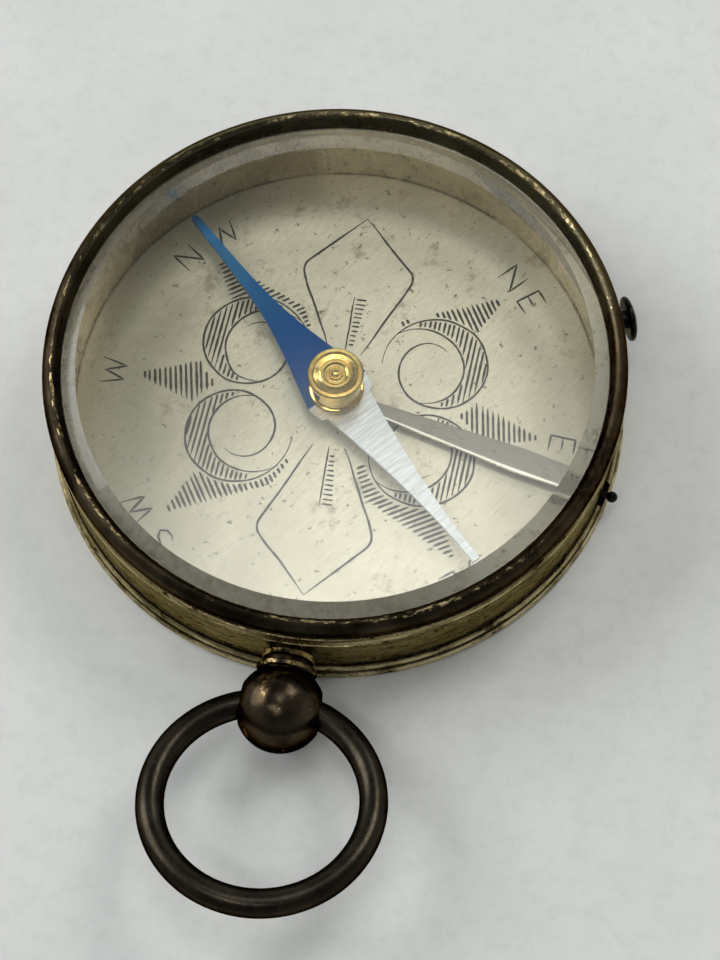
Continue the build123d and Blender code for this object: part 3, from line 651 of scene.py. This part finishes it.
for bearing in KITES:
    flip = 1 if bearing == 0 else -1
    for side in (-1, 1):
        spear = [(0, KITE_TIP), (KITE_HALF, KITE_SHOULDER), (KITE_ROOT_HALF, KITE_ROOT + 0.2)]
        rose.path(rounded([(side * x, flip * y) for x, y in spear]), 0.19)

    def in_rib(x, y):
        return 4.4 < flip * y < 9.4 and 0.1 < x < 0.12 * flip * y

    rose.path([(0, flip * 4.2), (0, flip * 9.5)], 0.14)
    rose.hatch(in_rib, 90, 0.42, 0.15)

LETTERS = {
    "N": [[(-0.8, -1), (-0.8, 1), (0.8, -1), (0.8, 1)]],
    "E": [[(0.65, 1), (-0.65, 1), (-0.65, -1), (0.65, -1)], [(-0.65, 0), (0.45, 0)]],
    "W": [[(-1.15, 1), (-0.6, -1), (0, 0.7), (0.6, -1), (1.15, 1)]],
    "S": [[
        (0.65, 0.75), (0.3, 1), (-0.3, 1), (-0.7, 0.6), (-0.4, 0.15),
        (0.4, -0.15), (0.7, -0.6), (0.3, -1), (-0.3, -1), (-0.65, -0.75),
    ]],
}
INSCRIPTION = (
    ("N", 44.3, 18.3), ("E", 52.8, 18.3), ("E", 94.5, 18.5), ("S", 133.5, 18.5), ("E", 142.0, 18.5),
    ("S", 182.0, 18.6), ("S", 220.0, 18.5), ("W", 230.6, 18.4), ("W", 269.8, 18.5), ("N", 308.0, 18.2),
    ("W", 319.5, 18.2),
)
for letter, bearing, r in INSCRIPTION:
    ox, oy = polar(bearing, r)
    ux, uy = polar(bearing, 1.0)
    for line in LETTERS[letter]:
        rose.path([(ox + uy * a + ux * b, oy - ux * a + uy * b) for a, b in line], 0.19, 0.4)
rose_piece = rose.build("dial_engraving", wax(), "case")


# --- Studio -------------------------------------------------------------------------------------------

FLOOR_HALF = 2
FLOOR_TOP = -0.00005
floor_mesh = bpy.data.meshes.new("floor")
floor_corners = [
    (-FLOOR_HALF, -FLOOR_HALF, FLOOR_TOP), (FLOOR_HALF, -FLOOR_HALF, FLOOR_TOP),
    (FLOOR_HALF, FLOOR_HALF, FLOOR_TOP), (-FLOOR_HALF, FLOOR_HALF, FLOOR_TOP),
]
floor_mesh.from_pydata(floor_corners, [], [(0, 1, 2, 3)])
floor_mesh.materials.append(floor_material())
floor = bpy.data.objects.new("floor", floor_mesh)
bpy.context.scene.collection.objects.link(floor)

world = bpy.data.worlds.new("studio")
world.use_nodes = True
sky = world.node_tree
sky.nodes.clear()


def sky_node(kind, inputs=None, **settings):
    made = sky.nodes.new("ShaderNode" + kind)
    for key, value in settings.items():
        setattr(made, key, value)
    for key, value in (inputs or {}).items():
        if isinstance(value, bpy.types.NodeSocket):
            sky.links.new(value, made.inputs[key])
        else:
            made.inputs[key].default_value = value
    return made


def sky_range(value, low, high, to_low, to_high):
    inputs = {"Value": value, "From Min": low, "From Max": high, "To Min": to_low, "To Max": to_high}
    return sky_node("MapRange", inputs, interpolation_type="SMOOTHSTEP").outputs["Result"]


def sky_math(operation, a, b):
    return sky_node("Math", {0: a, 1: b}, operation=operation).outputs[0]


def sky_facing(direction, towards):
    """Cosine between a direction of the sky and the given one."""
    return sky_node("VectorMath", {0: direction, 1: towards}, operation="DOT_PRODUCT").outputs["Value"]


direction = sky_node("TexCoord").outputs["Generated"]
height = sky_node("SeparateXYZ", {0: direction}).outputs[2]
clouds = sky_node("TexNoise", {"Vector": direction, "Scale": 1.6, "Detail": 1.0}).outputs["Fac"]
front = sky_range(sky_facing(direction, (0.16, -0.98, 0.0)), 0.05, 0.80, 1.0, 0.42)
ceiling_glow = sky_range(sky_facing(direction, (-0.03, 0.22, 0.975)), 0.962, 0.996, 0.0, 2.7)
room = sky_math("MULTIPLY", sky_range(height, 0.35, 0.85, 0.47, 0.20), front)
room = sky_math("MULTIPLY", room, sky_range(clouds, 0.35, 0.65, 0.70, 1.30))
room = sky_math("ADD", room, ceiling_glow)
glow = sky_node("Background", {0: (0.985, 1.0, 0.995, 1), 1: room})
sky_node("OutputWorld", {0: glow.outputs[0]})
bpy.context.scene.world = world


def softbox(name, place, width, height, power, colour):
    """Rectangular lamp that faces the compass."""
    light = bpy.data.lights.new(name, "AREA")
    light.shape = "RECTANGLE"
    light.size = width
    light.size_y = height
    light.energy = power
    light.color = colour
    lamp = bpy.data.objects.new(name, light)
    lamp.location = place
    lamp.rotation_euler = (-Vector(place)).to_track_quat("-Z", "Y").to_euler()
    bpy.context.scene.collection.objects.link(lamp)


softbox("key_panel", (0.28, 0.40, 0.54), 0.26, 0.26, 1.25, (1.0, 0.985, 0.955))
softbox("window_panel", (-0.54, 0.12, 0.38), 0.42, 0.42, 2.45, (0.975, 0.99, 1.0))
softbox("overhead_strip", (-0.10, -0.24, 0.62), 0.36, 0.06, 0.50, (1.0, 0.99, 0.97))

camera_data = bpy.data.cameras.new("camera")
camera_data.lens = 75
camera_data.sensor_width = 36
camera_data.sensor_fit = "AUTO"
camera_data.clip_start = 0.01
camera_data.dof.use_dof = False
camera = bpy.data.objects.new("camera", camera_data)
camera.location = Vector((14.42, -68.53, 147.72)) * MM
camera.rotation_euler = [radians(angle) for angle in (23.213, 0.852, 8.577)]
bpy.context.scene.collection.objects.link(camera)
bpy.context.scene.camera = camera
bpy.context.scene.view_settings.view_transform = "Standard"
